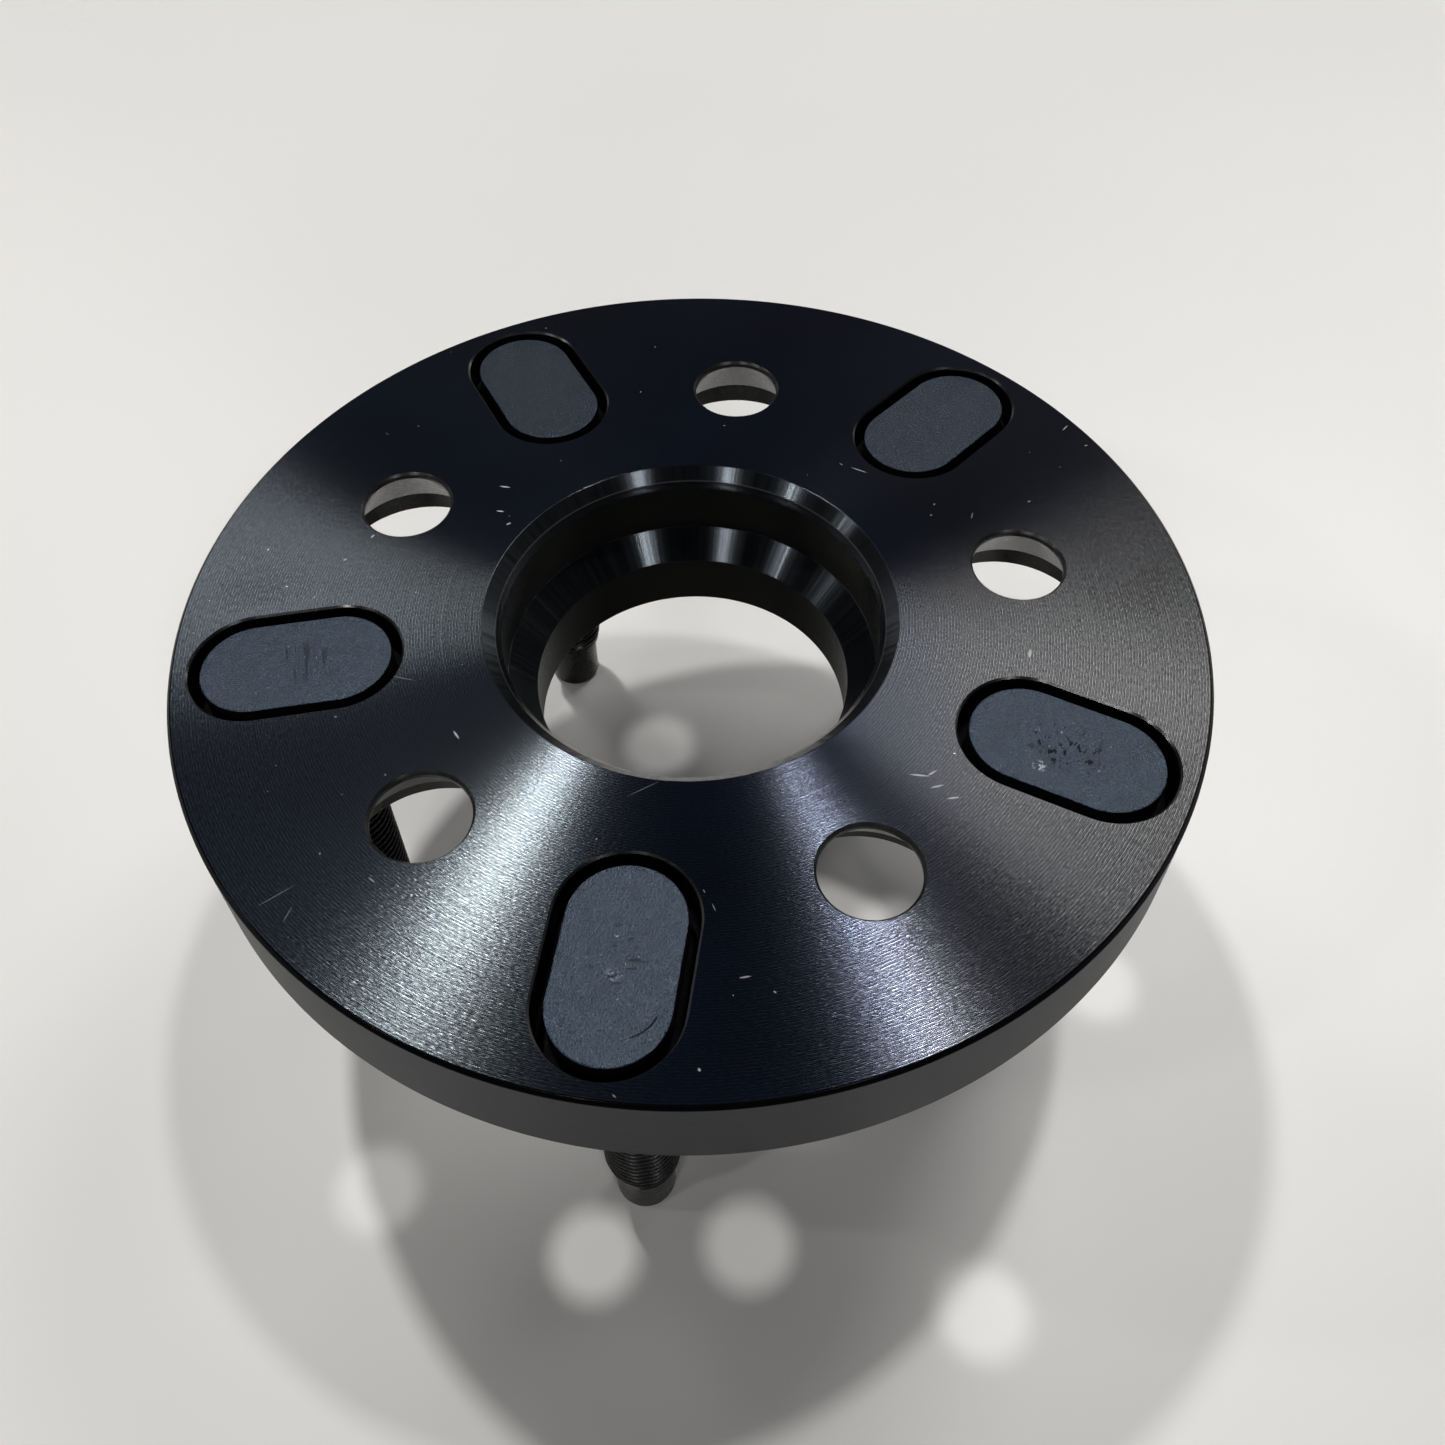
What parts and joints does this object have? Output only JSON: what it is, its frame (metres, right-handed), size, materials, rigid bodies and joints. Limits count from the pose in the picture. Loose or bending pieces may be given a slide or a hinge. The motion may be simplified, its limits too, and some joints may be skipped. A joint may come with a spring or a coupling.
{
  "type": "wheel spacer",
  "caption": "Round black bolt-on wheel spacer with pressed-in wheel studs, stepped centre bore, cone-seated lug holes and a centring spigot.",
  "frame": {"origin": "on the disc's axis, in the plane of the stud tips that the part stands on", "axes": "+Z along the disc's axis from the stud tips up to the hub face; +Y through one lug hole, -Y through one stud"},
  "size_m": [0.15, 0.15, 0.0768],
  "materials": {
    "spacer_body": "black anodised, fine turned marks on the faces, satin",
    "stud": "dark coated forged steel, dull blue-grey heads, black oiled thread"
  },
  "bodies": {
    "root": {"spacer_body": "spacer_body", "stud_1": "stud", "stud_2": "stud", "stud_3": "stud", "stud_4": "stud", "stud_5": "stud"}
  },
  "joints": []
}
